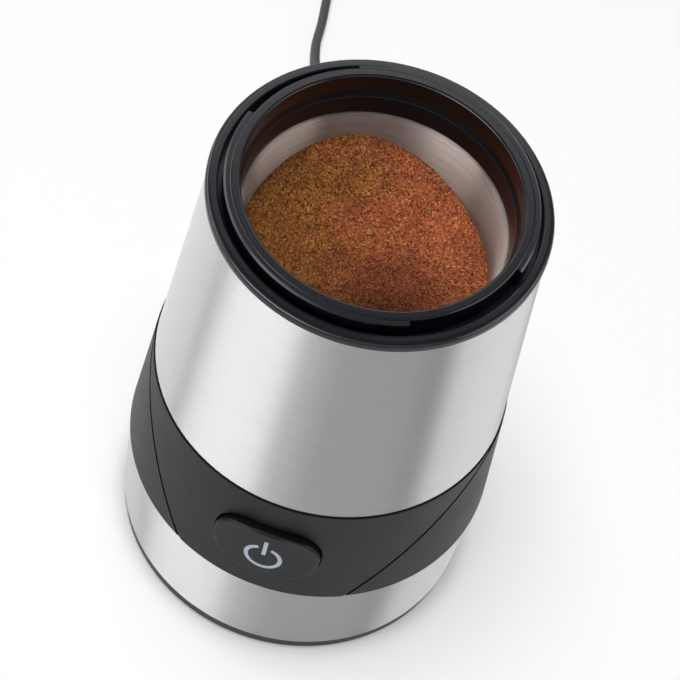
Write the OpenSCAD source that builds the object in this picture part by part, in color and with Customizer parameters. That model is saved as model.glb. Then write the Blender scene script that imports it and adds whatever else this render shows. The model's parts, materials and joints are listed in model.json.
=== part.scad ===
// Electric spice grinder: motor base with a steel bowl, shown with its lid off.
// Millimetres, +Z up. The origin is on the floor under the motor shaft and the
// power button faces -Y. An azimuth is counted from -Y towards +X.

/* [Body] */
// Radius of the black foot ring at the floor
foot_r = 53.4; // [53:0.1:53.6]
// Height of the lower steel sleeve's bottom edge
lower_z0 = 4.9; // [4.7:0.1:5.1]
// Outer radius of the lower steel sleeve at its bottom edge
lower_r0 = 53.85; // [53.7:0.05:54]
// Height of the lower steel sleeve's top edge
lower_z1 = 37; // [36.8:0.1:37.2]
// Outer radius of the lower steel sleeve at its top edge
lower_r1 = 55; // [54.9:0.05:55.1]
// Outer radius of the plastic band at its bottom edge
band_r0 = 55.4; // [55.2:0.1:55.6]
// Height of the upper steel sleeve's bottom edge
upper_z0 = 79.7; // [79.5:0.1:79.9]
// Outer radius of the plastic band at its rim, which stands proud of the upper sleeve
band_r1 = 52.6; // [52.5:0.05:52.7]
// Outer radius of the upper steel sleeve at its bottom edge
upper_r0 = 52.1; // [52:0.05:52.2]
// Height of the upper steel sleeve's top edge
upper_z1 = 158; // [157.8:0.1:158.2]
// Outer radius of the upper steel sleeve at its top edge
upper_r1 = 46.95; // [46.9:0.05:47]
// Wall thickness of both steel sleeves
sleeve_t = 0.8; // [0.6:0.1:0.9]
// Width of the shadow gaps at the lower sleeve and under the collar
shadow_gap = 0.4; // [0.3:0.1:0.5]
// Width of the shadow gap between the band's rim and the upper sleeve
rim_gap = 0.7; // [0.6:0.1:0.8]

/* [Collar] */
// Outer radius of the collar's flange
flange_r = 47.5; // [47.4:0.1:47.6]
// Height of the flange's top face
flange_z = 161.6; // [161.4:0.1:161.8]
// Height of the neck's top face
neck_z = 164.7; // [164.5:0.1:164.9]
// Inner radius of the neck, where a lid plugs in
neck_in = 38.5; // [38.4:0.05:38.6]
// Outer radius of the neck
neck_out = 41.4; // [41.2:0.1:41.6]
// Outer radius of the two bayonet lugs
lug_r = 43; // [42.9:0.1:43.1]
// Sweep of each bayonet lug in degrees
lug_sweep = 130; // [110:1:140]
// Azimuth at which the first lug starts
lug_start = 76; // [70:1:82]
// Outer radius of the channel between neck and flange
channel_out = 44.2; // [44:0.1:44.4]
// Height of the channel's floor
channel_z = 157.4; // [157.2:0.1:157.6]

/* [Bowl] */
// Inner radius of the bowl at its rim
bowl_r = 36; // [35.8:0.1:36.1]
// Inner radius of the bowl above its bottom curve
bowl_low_r = 35.4; // [35:0.1:35.6]
// Height of the bowl's flange, where its bright rim shows
rim_z = 150.6; // [150.4:0.1:150.8]
// Height of the bowl's floor
bowl_floor = 102; // [101.5:0.1:102.5]
// Radius of the curve between the bowl's floor and wall
bowl_curve = 12; // [9:0.5:14]
// Sheet thickness of the bowl
bowl_t = 0.8; // [0.6:0.1:0.9]

/* [Spice] */
// Height of the ground spice in the middle of the bowl
spice_mid = 127.5; // [126.5:0.5:128.5]
// Height of the spice's edge where it lies lowest
spice_low = 129.8; // [129.2:0.1:130.4]
// How far the spice climbs the bowl's wall at the back left
spice_climb = 12; // [10:0.5:13]
// Radius of the hollow in the spice that the blade keeps clear
spice_hollow = 31.9; // [31.7:0.1:32.3]

/* [Blade] */
// Distance from the shaft to a blade tip
blade_reach = 31; // [28:0.5:32]
// Thickness of the blade
blade_t = 1.6; // [1.4:0.1:1.8]
// Angle by which one tip is bent up
tip_up = 18; // [10:1:22]
// Angle by which the other tip is bent down
tip_down = 10; // [5:1:12]

/* [Button] */
// Width of the power button
button_w = 32; // [31:0.5:33]
// Height of the power button
button_h = 22.2; // [21.5:0.1:23]
// Corner radius of the power button
button_corner = 10; // [9:0.5:10.5]
// Height of the button's centre above the floor
button_z = 57.2; // [56.8:0.1:57.6]
// Radius of the upright cylinder that the button's face follows
button_face = 55.8; // [55.6:0.1:56]
// Travel of the power button
button_travel = 1.5; // [1.2:0.1:1.5]

/* [Motor] */
// Radius of the motor shaft
shaft_r = 2.5; // [2.4:0.05:2.5]
// Radius of the armature
armature_r = 14; // [13.8:0.1:14.2]
// Number of armature slots and commutator bars
slots = 12; // [8:1:14]
// Number of blades on the cooling fan
fan_blades = 11; // [7:1:13]

/* [Cord] */
// Width of the flat mains flex
cord_w = 3.2; // [3:0.1:3.4]
// Height of the flat mains flex, which stands on its edge
cord_h = 5.2; // [5:0.1:5.4]

/* [Hidden] */
$fn = 96;

// The band lies between the two shadow gaps.
band_z0 = lower_z1 + shadow_gap;
band_z1 = upper_z0 - rim_gap;
// How far the front panel is let into the band, and its gaps
panel_t = 2;
panel_seam = 0.25;
seam_groove = 0.9;
// The front panel's curved sides: half widths at the band's edges and the sides' radius
panel_low = 25.7;
panel_high = 51.9;
panel_side_r = 351;
// Places of the four chassis pillars and the four feet
pillar_azimuths = [75, 155, 205, 285];
pillar_at = 43.5;
foot_azimuths = [45, 135, 225, 315];
foot_at = 43.8;
// Levels inside the base
plate_z0 = 1.6;
plate_z1 = 3.6;
boss_top = 8.2;
cord_exit_z = 16;
chassis_floor = 92;
chassis_deck = 95;
chassis_r = 39.8;
// Levels in the motor
stack_z0 = 46;
stack_z1 = 66;
low_bracket = 26;
high_bracket = 80;
bracket_t = 2.5;
motor_screw_x = 24;
damper_x = 21;
damper_y = 18;
// Blade stack on the shaft
hub_z = 106;
blade_z = 109;
nut_z = blade_z + blade_t;
// Heap of spice: azimuth of its highest edge, spread of the rise in degrees, gap to the bowl
spice_azimuth = -157;
spice_spread = 50;
spice_gap = 0.05;
spice_roof = nut_z + 7.4;
// Lid interlock: a pin in the collar's channel works a switch on the chassis
interlock_azimuth = -130;
interlock_at = 42.8;
interlock_top = 136.6;
interlock_travel = 2;
pin_top = 160.2;
pin_foot = interlock_top + interlock_travel + 0.4;
// Posts that join the collar to the chassis
collar_post_azimuths = [30, 150, 270];
collar_post_at = 43.4;
// Fronts of the power switch, its plunger at rest and the lamp
switch_front = -41.8;
plunger_front = switch_front - button_travel - 0.3;
lamp_front = -45.3;
// Ring of the standard power symbol
symbol_r = 5.8;
symbol_line = 1.25;
symbol_gap = 22;
symbol_z = button_z - 2.1;
// Route of the flex from the strain relief to its coil, on the floor behind the base
route = [
    [0, 82, 16], [0, 86, 16], [0, 91, 15.6], [-0.5, 98, 14], [-2, 107, 11], [-6, 117, 7.5],
    [-12, 127, 4.5], [-20, 137, 3], [-30, 147, 2.6], [-39.5, 157, 2.6], [-45.5, 167, 2.6], [-48.5, 177, 2.6],
    [-49.5, 187, 2.6], [-51, 197, 2.6], [-52.5, 208, 2.6], [-53, 220, 2.6], [-52.5, 235, 2.6],
    [-52.2, 252, 2.6]
];
// The coil is three turns wide and two turns high.
coil_at = [-22, 262];
coil_mid = 27;
coil_high = 2 * cord_h;
// The tail runs from the top of the coil to the plug.
tail = [[-22, 292.2, 7.8], [-15, 292.2, 7.5], [-10, 292.2, 6.9], [-5, 292.2, 6.9]];
plug_at = [5, 292.2, 6.9];
// Lead routes inside the base
mains_to_interlock = [
    [0, 38.6, 17.3], [-0.8, 36.6, 17.8], [-6, 33.5, 20], [-16, 31.5, 25], [-26, 29, 34],
    [-32, 27, 46], [-34.5, 26, 64], [-35.3, 25.5, 84], [-35.5, 25.2, 104], [-35.6, 24.8, 118],
    [-35.7, 24.1, 126.3]
];
mains_to_switch = [
    [0, 38.6, 14.7], [0.8, 36.6, 14.4], [6, 33, 14], [18, 32, 15], [31, 22, 18], [36, 4, 24],
    [34, -14, 32], [26, -26, 40], [14, -30, 46], [5, -30.8, 48.2]
];
switch_to_motor = [
    [-5, -30.8, 48.2], [-14, -31, 46], [-27, -26, 42], [-31, -16, 38], [-27, -11, 36.5], [-22, -8, 35],
    [-17.5, -4.2, 34]
];

// Outer radius of the tapered band at height z
function band_r(z) = band_r0 + (z - band_z0) * (band_r1 - band_r0) / (band_z1 - band_z0);

// Points of an arc about c, from angle a0 to a1 in n steps
function arc(c, r, a0, a1, n) =
    [for (i = [0:n]) let (a = a0 + (a1 - a0) * i / n) [c[0] + r * cos(a), c[1] + r * sin(a)]];

// Moves its children from the +X axis to an azimuth
module at_azimuth(a) {
    rotate([0, 0, a - 90]) children();
}

// Ring about the shaft axis
module tube(z0, z1, r_in, r_out) {
    difference() {
        translate([0, 0, z0]) cylinder(h = z1 - z0, r = r_out);
        translate([0, 0, z0 - 1]) cylinder(h = z1 - z0 + 2, r = r_in);
    }
}

// Cylinder along +Y from y0 to y1
module rod_y(x, z, y0, y1, r) {
    translate([x, y0, z]) rotate([-90, 0, 0]) cylinder(h = y1 - y0, r = r);
}

// Rounded bar seen along Y, centred at x = 0 and at height z
module bar_y(w, h, corner, z, y0, y1) {
    translate([0, y0, z]) {
        translate([-w / 2 + corner, 0, -h / 2]) cube([w - 2 * corner, y1 - y0, h]);
        translate([-w / 2, 0, -h / 2 + corner]) cube([w, y1 - y0, h - 2 * corner]);
        for (sx = [-1, 1], sz = [-1, 1])
            translate([sx * (w / 2 - corner), 0, sz * (h / 2 - corner)])
                rotate([-90, 0, 0]) cylinder(h = y1 - y0, r = corner);
    }
}

// Screw pointing down: head from z to z + head_h, shank below it
module screw_down(z, head_r, head_h, shank_r, shank_l) {
    translate([0, 0, z]) cylinder(h = head_h, r = head_r);
    translate([0, 0, z - shank_l]) cylinder(h = shank_l + 0.1, r = shank_r);
}

// Tube along a route, each ring upright and square to the route
module swept(points, half_w, half_h, sides) {
    last = len(points) - 1;
    function way(i) = let (a = points[max(i - 1, 0)], b = points[min(i + 1, last)]) b - a;
    function side(i) = let (d = way(i), l = norm([d[0], d[1]])) [-d[1] / l, d[0] / l, 0];
    function top(i) = let (c = cross(way(i), side(i))) c / norm(c);
    grow = 1 / cos(180 / sides);
    rings = [for (i = [0:last], k = [0:sides - 1]) let (a = 360 * (k + 0.5) / sides)
        points[i] + side(i) * half_w * grow * cos(a) + top(i) * half_h * grow * sin(a)];
    walls = [for (i = [0:last - 1], k = [0:sides - 1]) let (m = (k + 1) % sides)
        [i * sides + k, (i + 1) * sides + k, (i + 1) * sides + m, i * sides + m]];
    polyhedron(rings, concat(
        [[for (k = [0:sides - 1]) k]], walls, [[for (k = [sides - 1:-1:0]) last * sides + k]]));
}

// ---- base ----

// Floor plate with the foot ring, fan vents, screw bosses and cord saddle
module base_plate() {
    color("#17181a")
    difference() {
        union() {
            rotate_extrude() polygon([
                [50.2, 0.8], [foot_r - 0.3, 0.8], [foot_r, 1.1], [foot_r + 0.25, lower_z0 - shadow_gap],
                [foot_r - 0.2, lower_z0 - shadow_gap], [foot_r - 0.2, lower_z0], [foot_r - 0.8, lower_z0],
                [foot_r - 0.8, 11], [50.2, 11]]);
            translate([0, 0, plate_z0]) cylinder(h = plate_z1 - plate_z0, r = 50.4);
            for (a = pillar_azimuths)
                at_azimuth(a) translate([pillar_at, 0, plate_z0]) cylinder(h = boss_top - plate_z0, r = 5);
            for (s = [-1, 1])
                translate([s * 8.5, 44, plate_z0]) cylinder(h = 12.2 - plate_z0, r = 3);
            translate([-5.2, 41.5, plate_z0])
                cube([10.4, 5, cord_exit_z - cord_h / 2 - plate_z0]);
        }
        for (a = pillar_azimuths)
            at_azimuth(a) translate([pillar_at, 0, 0]) {
                cylinder(h = 5.6, r = 3.5);
                cylinder(h = 10, r = 1.7);
            }
        for (a = foot_azimuths)
            at_azimuth(a) translate([foot_at, 0, 0]) {
                cylinder(h = 2.4, r = 6.2);
                cylinder(h = 6, r = 2);
            }
        for (i = [0:19])
            rotate([0, 0, 18 * i]) {
                translate([13, -1.1, 0]) cube([15, 2.2, 6]);
                translate([28, 0, 0]) cylinder(h = 6, r = 1.1);
            }
        for (s = [-1, 1])
            translate([s * 8.5, 44, 5]) cylinder(h = 10, r = 1.2);
        translate([-cord_w / 2, 40, 12.6]) cube([cord_w, 8, 4]);
        rod_y(0, cord_exit_z, 49, 54, 7);
    }
}

// Four push-in feet with a stud and a barbed head
module rubber_feet() {
    color("#2a2a2a")
    for (a = foot_azimuths)
        at_azimuth(a) translate([foot_at, 0, 0]) rotate_extrude() polygon([
            [0, 0], [5.4, 0], [6, 0.6], [6, 2.4], [2, 2.4], [2, plate_z1], [2.8, plate_z1],
            [2.2, 5.6], [0, 5.6]]);
}

module base_screws() {
    color("#8c8f92")
    for (a = pillar_azimuths)
        at_azimuth(a) translate([pillar_at, 0, 0]) mirror([0, 0, 1]) screw_down(-5.6, 3, 2.2, 1.5, 13);
}

module lower_sleeve() {
    color("#c9cacb")
    difference() {
        rotate_extrude() polygon([
            [lower_r0 - sleeve_t, lower_z0], [lower_r0, lower_z0],
            [lower_r1, lower_z1], [lower_r1 - sleeve_t, lower_z1]]);
        rod_y(0, cord_exit_z, 40, 60, 5.1);
    }
}

// ---- band with the control panel ----

// Prism along Y between the panel's two curved sides, grown by extra on each side
module panel_outline(extra) {
    chord = [panel_high - panel_low, band_z1 - band_z0];
    along = chord / norm(chord);
    middle = [panel_low, band_z0] + chord / 2;
    inset = sqrt(pow(panel_side_r, 2) - pow(norm(chord) / 2, 2));
    centre = middle + [-along[1], along[0]] * inset;
    a0 = atan2(band_z0 - centre[1], panel_low - centre[0]) - 0.3;
    a1 = atan2(band_z1 - centre[1], panel_high - centre[0]) + 0.3;
    right = arc(centre, panel_side_r + extra, a0, a1, 8);
    left = [for (i = [len(right) - 1:-1:0]) [-right[i][0], right[i][1]]];
    intersection() {
        rotate([90, 0, 0]) linear_extrude(60) polygon(concat(right, left));
        translate([-60, -60, band_z0 - 0.05]) cube([120, 60, band_z1 - band_z0 + 0.1]);
    }
}

// Solid of the band's outer cone, shrunk by depth
module band_cone(depth, z0, z1) {
    translate([0, 0, z0]) cylinder(h = z1 - z0, r1 = band_r(z0) - depth, r2 = band_r(z1) - depth);
}

module band_housing() {
    spigot_low = lower_r1 - sleeve_t - 0.4;
    spigot_high = upper_r0 - sleeve_t - 0.6;
    color("#2b2b2d")
    difference() {
        union() {
            rotate_extrude() polygon([
                [spigot_low - 2, 29], [spigot_low, 29], [spigot_low, lower_z1],
                [lower_r1 - 0.4, lower_z1], [lower_r1 - 0.4, band_z0], [band_r0 - 0.2, band_z0],
                [band_r(band_z0 + 0.3), band_z0 + 0.3], [band_r(band_z1 - 0.3), band_z1 - 0.3],
                [band_r1 - 0.3, band_z1], [upper_r0 - 0.5, band_z1], [upper_r0 - 0.5, upper_z0],
                [spigot_high, upper_z0], [spigot_high, 87], [spigot_high - 2, 87],
                [spigot_high - 2, 78.5], [52.6, 38.5], [spigot_low - 2, 36]]);
            for (a = pillar_azimuths)
                at_azimuth(a) {
                    translate([pillar_at, 0, 40]) cylinder(h = 4, r = 5.4);
                    translate([pillar_at, -4, 40]) cube([9.1, 8, 4]);
                }
        }
        for (a = pillar_azimuths)
            at_azimuth(a) translate([pillar_at, 0, 30]) cylinder(h = 30, r = 3.5);
        difference() {
            panel_outline(0);
            band_cone(panel_t + 0.05, band_z0 - 1, band_z1 + 1);
        }
        difference() {
            panel_outline(seam_groove - panel_seam);
            band_cone(0.45, band_z0 - 1, band_z1 + 1);
        }
        bar_y(50, 27.6, 6, button_z, -60, -38);
    }
}

// Control panel let into the front of the band, with two screw posts behind it
module front_panel() {
    color("#2f2f31")
    difference() {
        union() {
            intersection() {
                panel_outline(-panel_seam);
                difference() {
                    band_cone(0, band_z0, band_z1);
                    band_cone(panel_t, band_z0 - 1, band_z1 + 1);
                }
            }
            intersection() {
                for (s = [-1, 1])
                    rod_y(s * 21.6, button_z, -60, -40.5, 2.8);
                band_cone(1, band_z0, band_z1);
            }
        }
        bar_y(button_w + 0.6, button_h + 0.6, button_corner + 0.3, button_z, -60, -45);
        for (s = [-1, 1])
            rod_y(s * 21.6, button_z, -46, -38, 1);
    }
}

// Cap layer that follows the upright face cylinder, inset all round
module cap_layer(inset, drop) {
    intersection() {
        bar_y(button_w - 2 * inset, button_h - 2 * inset, button_corner - inset, button_z, -60, -50);
        translate([0, 0, button_z - 20]) cylinder(h = 40, r = button_face - drop, $fn = 144);
    }
}

// Button cap with a rounded edge, a retaining flange, two guide pins and a pusher
module power_button() {
    color("#101012")
    difference() {
        union() {
            hull($fn = 32) {
                cap_layer(0, 1.4);
                cap_layer(0.35, 0.5);
                cap_layer(1.2, 0);
            }
            intersection() {
                bar_y(36, 26.2, 11, button_z, -60, -40);
                tube(button_z - 20, button_z + 20, 48.8, 50.2);
            }
            for (s = [-1, 1])
                rod_y(s * 11, button_z, -48.6, -36.2, 1.5);
            rod_y(0, 49, -49.5, plunger_front - 0.05, 1.6);
        }
        symbol(-60, -54.2, 0.05);
        rod_y(0, symbol_z, -54.5, -40, 2.45);
    }
}

// Power symbol as a prism along Y: an open ring and an upright bar
module symbol(y0, y1, spare) {
    intersection() {
        difference() {
            rod_y(0, symbol_z, y0, y1, symbol_r + spare);
            rod_y(0, symbol_z, y0 - 1, y1 + 1, symbol_r - symbol_line - spare);
            translate([0, y0 - 1, symbol_z]) rotate([-90, 0, 0])
                linear_extrude(y1 - y0 + 2)
                    polygon([[0, 0], [-9 * tan(symbol_gap), -9], [9 * tan(symbol_gap), -9]]);
        }
        translate([0, 0, button_z - 20]) cylinder(h = 40, r = button_face + 5);
    }
    translate([-0.6 - spare, y0, symbol_z + 1.4 - spare]) cube([1.2 + 2 * spare, y1 - y0, 7.3 + 2 * spare]);
}

// Clear guide that carries the lamp's light to the symbol on the button's face
module light_guide() {
    color("#dfe9f2")
    union() {
        intersection() {
            symbol(-60, -54.2, 0);
            translate([0, 0, button_z - 20]) cylinder(h = 40, r = button_face + 0.02, $fn = 144);
        }
        rod_y(0, symbol_z, -54.5, lamp_front - button_travel - 0.1, 2.4);
    }
}

// Plate behind the button: it guides the pins and holds the switch and the lamp
module switch_carrier() {
    color("#3a3a3c")
    difference() {
        bar_y(50, 26, 5, button_z, -40.5, -38.5);
        for (s = [-1, 1]) {
            rod_y(s * 11, button_z, -45, -30, 1.55);
            rod_y(s * 21.6, button_z, -45, -30, 1.4);
        }
        translate([-6.45, -45, 46.05]) cube([12.9, 10, 5.9]);
    }
}

module panel_screws() {
    color("#8c8f92")
    for (s = [-1, 1]) {
        rod_y(s * 21.6, button_z, -38.5, -36.7, 2.4);
        rod_y(s * 21.6, button_z, -45.5, -38.4, 1);
    }
}

module power_switch() {
    color("#1d3a6b")
    difference() {
        union() {
            translate([-6.4, switch_front, 46.1]) cube([12.8, 6.5, 5.8]);
            for (x = [-5, 0, 5])
                translate([x - 0.9, -35.4, 48]) cube([1.8, 3.6, 0.5]);
        }
        rod_y(0, 49, -43, -39.2, 1.05);
    }
}

module switch_plunger() {
    color("#e9e6df")
    rod_y(0, 49, plunger_front, -41, 1);
}

module lamp_board() {
    color("#2d6b3c")
    difference() {
        translate([-8, -41.7, 52.1]) cube([16, 1.2, 10.4]);
        rod_y(-1.27, symbol_z, -43, -39, 0.4);
        rod_y(1.27, symbol_z, -43, -39, 0.4);
    }
}

module indicator_lamp() {
    color("#e8f0ff")
    union() {
        rod_y(0, symbol_z, lamp_front + 1.5, -41.7, 1.5);
        intersection() {
            translate([0, lamp_front + 1.5, symbol_z]) sphere(r = 1.5);
            translate([-2, -46, symbol_z - 2]) cube([4, 2.2, 4]);
        }
    }
}

// ---- upper shell ----

module upper_sleeve() {
    color("#c9cacb")
    rotate_extrude() polygon([
        [upper_r0 - sleeve_t, upper_z0], [upper_r0, upper_z0],
        [upper_r1, upper_z1], [upper_r1 - sleeve_t, upper_z1]]);
}

// Collar: drip-proof flange, lid channel, neck and two bayonet lugs
module top_collar() {
    lip = upper_z1 + shadow_gap;
    spigot = upper_r1 - sleeve_t - 0.15;
    color("#1b1b1d")
    difference() {
        union() {
            rotate_extrude() polygon(concat(
                [[36.95, rim_z + 0.2], [37.6, 156.4], [37.95, 156.6], [neck_in, 158.4]],
                arc([neck_in + 0.7, neck_z - 0.7], 0.7, 180, 90, 4),
                arc([neck_out - 0.5, neck_z - 0.5], 0.5, 90, 0, 3),
                [[neck_out, channel_z], [channel_out, channel_z]],
                arc([channel_out + 0.5, flange_z - 0.5], 0.5, 180, 90, 3),
                arc([flange_r - 1.5, flange_z - 1.5], 1.5, 90, 0, 6),
                arc([flange_r - 0.5, lip + 0.5], 0.5, 0, -90, 3),
                [[upper_r1 - 0.45, lip], [upper_r1 - 0.45, upper_z1], [spigot, upper_z1],
                 [spigot, 149.5], [spigot - 1.8, 149.5], [spigot - 1.8, 155.2], [41.2, 155.2],
                 [41.2, rim_z + 0.8], [38, rim_z + 0.8], [37.6, rim_z + 0.2]]));
            for (start = [lug_start, lug_start + 180])
                bayonet_lug(start);
            difference() {
                union() {
                    at_azimuth(interlock_azimuth)
                        translate([interlock_at, 0, 149.6]) cylinder(h = 6, r = 2.5);
                    for (a = collar_post_azimuths)
                        at_azimuth(a) translate([collar_post_at, 0, 143]) cylinder(h = 12.5, r = 2.5);
                }
                translate([0, 0, 140]) cylinder(h = rim_z + 0.8 - 140, r = 41.2);
            }
        }
        at_azimuth(interlock_azimuth)
            translate([interlock_at, 0, 145]) cylinder(h = 20, r = 1.15);
        for (a = collar_post_azimuths)
            at_azimuth(a) translate([collar_post_at, 0, 140]) cylinder(h = 13, r = 1.2);
    }
}

// Lug that holds the lid down: a rib on the neck with a lead-in at one end and a stop at the other
module bayonet_lug(start) {
    lead = 12;
    at_azimuth(start) rotate_extrude(angle = lug_sweep - lead) polygon([
        [neck_out - 0.3, 160.9], [lug_r - 0.4, 161.3], [lug_r, 161.7], [lug_r, neck_z - 0.7],
        [lug_r - 0.5, neck_z - 0.2], [neck_out - 0.3, neck_z - 0.2]]);
    at_azimuth(start + lug_sweep - lead - 1) rotate_extrude(angle = lead + 1) polygon([
        [neck_out - 0.3, 162.4], [lug_r - 0.3, 162.8], [lug_r - 0.3, neck_z - 0.9],
        [lug_r - 0.8, neck_z - 0.4], [neck_out - 0.3, neck_z - 0.4]]);
    at_azimuth(start) rotate_extrude(angle = 4) polygon([
        [neck_out - 0.3, channel_z - 0.1], [lug_r - 0.4, channel_z - 0.1],
        [lug_r - 0.4, 161.5], [neck_out - 0.3, 161.5]]);
}

module collar_screws() {
    color("#8c8f92")
    for (a = collar_post_azimuths)
        at_azimuth(a) translate([collar_post_at, 0, 0]) mirror([0, 0, 1]) screw_down(-141, 2.2, 1.8, 1.1, 9);
}

// ---- bowl and blade ----

// Spun steel bowl: flat floor, curved corner, slightly tapered wall and a rolled flange
module bowl() {
    corner = [bowl_low_r - bowl_curve, bowl_floor + bowl_curve];
    rim = 0.9;
    color("#b9b4ae")
    rotate_extrude() polygon(concat(
        [[6.1, bowl_floor]],
        arc(corner, bowl_curve, -90, 0, 10),
        arc([bowl_r + rim, rim_z - rim], rim, 180, 90, 5),
        [[41, rim_z], [41, rim_z - bowl_t], [bowl_r + bowl_t + 0.3, rim_z - bowl_t],
         [bowl_r + bowl_t, rim_z - bowl_t - 0.3]],
        arc(corner, bowl_curve + bowl_t, 0, -90, 10),
        [[6.1, bowl_floor - bowl_t]]));
}

module bowl_gasket() {
    color("#30302e")
    tube(rim_z, rim_z + 0.8, 38.1, 41);
}

// Flanged bush that clamps the bowl to the chassis and carries the shaft seal
module bowl_bush() {
    color("#232325")
    rotate_extrude() polygon([
        [3.6, 90], [6, 90], [6, bowl_floor], [9, bowl_floor], [9, bowl_floor + 1],
        [4.9, bowl_floor + 1.2], [4.6, 105.4], [3.6, 105.4]]);
}

module shaft_seal() {
    color("#5a2f22")
    rotate_extrude() polygon([
        [shaft_r + 0.05, 97], [3.6, 97], [3.6, 105], [3.2, 105.3], [shaft_r + 0.05, 105.3]]);
}

// Hub under the blade, with a skirt over the bush
module blade_hub() {
    color("#1c1c1e")
    rotate_extrude() polygon([
        [shaft_r, hub_z], [5, hub_z], [5.4, hub_z - 2.4], [6.8, hub_z - 2.4], [6.8, hub_z + 1],
        [5.4, blade_z], [shaft_r, blade_z]]);
}

// Planform of one wing: swept leading edge, straight trailing edge, blunt tip
module wing_outline() {
    polygon([
        [0, -6.5], [10, -6], [20, -4.4], [27, -1.6], [blade_reach - 1, 1.6], [blade_reach, 3.4],
        [blade_reach - 2, 4.6], [22, 5.6], [10, 6.3], [0, 6.5]]);
}

// Wing whose outer part is bent about a line at bend_x
module wing(tilt) {
    bend_x = 16;
    intersection() {
        linear_extrude(blade_t) wing_outline();
        translate([-1, -10, -1]) cube([bend_x + 1, 20, 4]);
    }
    translate([bend_x, 0, 0]) rotate([0, -tilt, 0]) translate([-bend_x, 0, 0])
        difference() {
            intersection() {
                linear_extrude(blade_t) wing_outline();
                translate([bend_x - 0.3, -10, -1]) cube([20, 20, 4]);
            }
            translate([bend_x, -4.9, blade_t]) rotate([0, 0, 24]) rotate([32, 0, 0])
                translate([-4, -6, 0]) cube([26, 6, 3]);
        }
}

module blade() {
    color("#c4c6c8")
    translate([0, 0, blade_z])
        difference() {
            union() {
                wing(tip_up);
                rotate([0, 0, 180]) wing(-tip_down);
                cylinder(h = blade_t, r = 7.5);
            }
            translate([0, 0, -1]) cylinder(h = 4, r = shaft_r);
        }
}

// Domed nut with a six-sided foot
module blade_nut() {
    color("#d0d2d4")
    difference() {
        union() {
            translate([0, 0, nut_z]) cylinder(h = 3, r = 5.2, $fn = 6);
            translate([0, 0, nut_z]) rotate_extrude() polygon(concat(
                [[0, 0], [4.2, 0], [4.2, 3.2]], arc([0, 2.6], 4.2, 10, 90, 6)));
        }
        translate([0, 0, nut_z - 1]) cylinder(h = 5, r = shaft_r);
    }
}

// Bowl's inner radius at a height above its bottom curve, and the heap's edge at an azimuth
function wall_r(z) = bowl_low_r + (bowl_r - bowl_low_r)
    * (z - bowl_floor - bowl_curve) / (rim_z - 0.9 - bowl_floor - bowl_curve);
function spice_edge(a) = let (turn = (a - spice_azimuth + 540) % 360 - 180)
    spice_low + spice_climb * exp(-pow(turn / spice_spread, 2));

// Ground spice: a dished heap down to the bowl's bottom curve, hollow where the blade turns
module ground_spice() {
    steps = 48;
    rings = 5;
    corner = [bowl_low_r - bowl_curve, bowl_floor + bowl_curve];
    foot = -acos((spice_hollow - corner[0]) / (bowl_curve - spice_gap));
    function section(a) = let (z = spice_edge(a), r = wall_r(z) - spice_gap) concat(
        [for (j = [1:rings]) [r * j / rings, spice_mid + (z - spice_mid) * pow(j / rings, 2.2)]],
        arc(corner, bowl_curve - spice_gap, 0, foot, 3),
        [[spice_hollow, spice_roof]]);
    count = rings + 5;
    points = concat([[0, 0, spice_mid], [0, 0, spice_roof]],
        [for (k = [0:steps - 1], p = section(360 * k / steps))
            let (a = 360 * k / steps) [p[0] * sin(a), -p[0] * cos(a), p[1]]]);
    faces = [for (k = [0:steps - 1]) let (here = 2 + k * count, next = 2 + (k + 1) % steps * count)
        each concat(
            [[0, next, here], [1, here + count - 1, next + count - 1]],
            [for (j = [0:count - 2]) each [
                [here + j, next + j, next + j + 1], [here + j, next + j + 1, here + j + 1]]])];
    color("#8f4f22")
    polyhedron(points, faces);
}

// ---- chassis ----

// Cup around the bowl: feet for the chassis screws, ears for the collar's and the interlock shelf
module bowl_cup() {
    color("#d8d5cc")
    difference() {
        union() {
            tube(chassis_deck, rim_z - bowl_t, 38.2, chassis_r);
            tube(146.5, rim_z - bowl_t, 38.2, 41);
            for (a = pillar_azimuths)
                at_azimuth(a) {
                    translate([pillar_at, 0, chassis_deck]) cylinder(h = 3, r = 3.4);
                    translate([38.9, -3.4, chassis_deck]) cube([pillar_at - 38.9, 6.8, 3]);
                }
            for (a = collar_post_azimuths)
                at_azimuth(a) {
                    translate([collar_post_at, 0, 141]) cylinder(h = 2, r = 2.7);
                    translate([39, -2.7, 141]) cube([collar_post_at - 39, 5.4, 2]);
                }
            at_azimuth(interlock_azimuth)
                translate([38.9, -7, 128.1]) cube([6.9, 14, 2]);
        }
        for (a = pillar_azimuths)
            at_azimuth(a) translate([pillar_at, 0, chassis_deck - 1]) cylinder(h = 5, r = 1.7);
        for (a = collar_post_azimuths)
            at_azimuth(a) translate([collar_post_at, 0, 140]) cylinder(h = 4, r = 1.2);
        at_azimuth(interlock_azimuth) {
            translate([interlock_at, -4.5, 125]) cylinder(h = 10, r = 1.4);
            translate([interlock_at, 4.5, 125]) cylinder(h = 10, r = 1.4);
        }
    }
}

module cup_screws() {
    color("#8c8f92")
    for (a = pillar_azimuths)
        at_azimuth(a) translate([pillar_at, 0, 0]) screw_down(chassis_deck + 3, 3, 2, 1.5, 9);
}

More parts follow.
